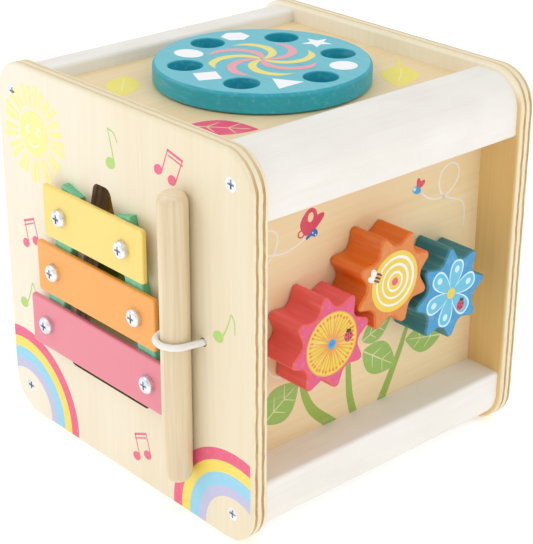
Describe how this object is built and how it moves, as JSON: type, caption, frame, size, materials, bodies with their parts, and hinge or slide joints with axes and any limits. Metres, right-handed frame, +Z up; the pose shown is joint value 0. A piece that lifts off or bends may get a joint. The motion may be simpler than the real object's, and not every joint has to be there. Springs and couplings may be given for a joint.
{
  "type": "shape sorter activity cube",
  "caption": "Wooden toddler activity cube with a turning disc on top, meshed gears, a bar xylophone with its beater, and a shape sorting side.",
  "frame": {"origin": "on the floor, below the middle of the outline", "axes": "-Y is the gear side, -X the xylophone side with the beater, +Y the shape sorting side, +Z up"},
  "size_m": [0.2056, 0.197, 0.2016],
  "materials": {
    "birch": "satin clear lacquer",
    "birch_board": "satin clear lacquer",
    "white_paint": "satin white paint",
    "teal_paint": "satin paint",
    "pink_paint": "satin paint",
    "orange_paint": "satin paint",
    "blue_paint": "satin paint",
    "green_paint": "satin paint",
    "yellow_paint": "satin paint",
    "red_paint": "satin paint",
    "yellow_bar": "gloss enamel",
    "orange_bar": "gloss enamel",
    "pink_bar": "gloss enamel",
    "steel_screw": "bright zinc",
    "axle_wood": "plain sanded",
    "beater_wood": "plain sanded",
    "felt": "pressed felt",
    "elastic": "woven elastic"
  },
  "bodies": {
    "cube": {"left_panel": "birch", "right_panel": "birch", "top_front_rail": "white_paint", "top_back_rail": "white_paint", "bottom_front_rail": "white_paint", "bottom_back_rail": "white_paint", "top_board": "birch_board", "gear_board": "birch_board", "sorter_board": "birch_board", "left_panel_screws": "steel_screw", "right_panel_screws": "steel_screw", "front_strip": "green_paint", "back_strip": "green_paint", "pink_bar": "pink_bar", "orange_bar": "orange_bar", "yellow_bar": "yellow_bar", "bar_felts": "felt", "bar_screws": "steel_screw", "elastic_loop": "elastic", "elastic_knots": "elastic", "gear_spacers": "felt", "disc_spacer": "felt"},
    "disc": {"turn_disc": "teal_paint", "disc_axle": "axle_wood", "disc_washer": "steel_screw", "disc_screw": "steel_screw"},
    "orange_gear": {"orange_gear": "orange_paint", "orange_gear_axle": "axle_wood", "orange_gear_washer": "steel_screw", "orange_gear_screw": "steel_screw"},
    "pink_gear": {"pink_gear": "pink_paint", "pink_gear_axle": "axle_wood", "pink_gear_washer": "steel_screw", "pink_gear_screw": "steel_screw"},
    "blue_gear": {"blue_gear": "blue_paint", "blue_gear_axle": "axle_wood", "blue_gear_washer": "steel_screw", "blue_gear_screw": "steel_screw"},
    "beater": {"beater": "beater_wood"},
    "circle_block": {"circle_block": "green_paint"},
    "square_block": {"square_block": "blue_paint"},
    "triangle_block": {"triangle_block": "red_paint"},
    "star_block": {"star_block": "yellow_paint"},
    "oval_block": {"oval_block": "pink_paint"},
    "hexagon_block": {"hexagon_block": "orange_paint"}
  },
  "joints": [
    {"name": "disc_spin", "type": "hinge", "parent": "cube", "child": "disc", "pos_m": [0.0093, 0, 0.1908], "axis": [0, 0, 1], "continuous": true},
    {"name": "orange_gear_spin", "type": "hinge", "parent": "cube", "child": "orange_gear", "pos_m": [0.0088, -0.0745, 0.1135], "axis": [0, -1, 0], "continuous": true},
    {"name": "pink_gear_spin", "type": "hinge", "parent": "cube", "child": "pink_gear", "pos_m": [-0.03271, -0.0745, 0.09397], "axis": [0, -1, 0], "continuous": true},
    {"name": "blue_gear_spin", "type": "hinge", "parent": "cube", "child": "blue_gear", "pos_m": [0.05031, -0.0745, 0.09397], "axis": [0, -1, 0], "continuous": true},
    {"name": "beater_slide", "type": "slide", "parent": "cube", "child": "beater", "axis": [0, 0, 1], "range_m": [-0.024, 0.085]},
    {"name": "circle_block_slide", "type": "slide", "parent": "cube", "child": "circle_block", "axis": [0, 1, 0], "range_m": [-0.045, 0.04]},
    {"name": "square_block_slide", "type": "slide", "parent": "cube", "child": "square_block", "axis": [0, 1, 0], "range_m": [-0.045, 0.04]},
    {"name": "triangle_block_slide", "type": "slide", "parent": "cube", "child": "triangle_block", "axis": [0, 1, 0], "range_m": [-0.045, 0.04]},
    {"name": "star_block_slide", "type": "slide", "parent": "cube", "child": "star_block", "axis": [0, 1, 0], "range_m": [-0.045, 0.04]},
    {"name": "oval_block_slide", "type": "slide", "parent": "cube", "child": "oval_block", "axis": [0, 1, 0], "range_m": [-0.045, 0.04]},
    {"name": "hexagon_block_slide", "type": "slide", "parent": "cube", "child": "hexagon_block", "axis": [0, 1, 0], "range_m": [-0.045, 0.04]}
  ],
  "couplings": [
    {"joint": "pink_gear_spin", "follows": "orange_gear_spin", "ratio": -1},
    {"joint": "blue_gear_spin", "follows": "orange_gear_spin", "ratio": -1}
  ]
}
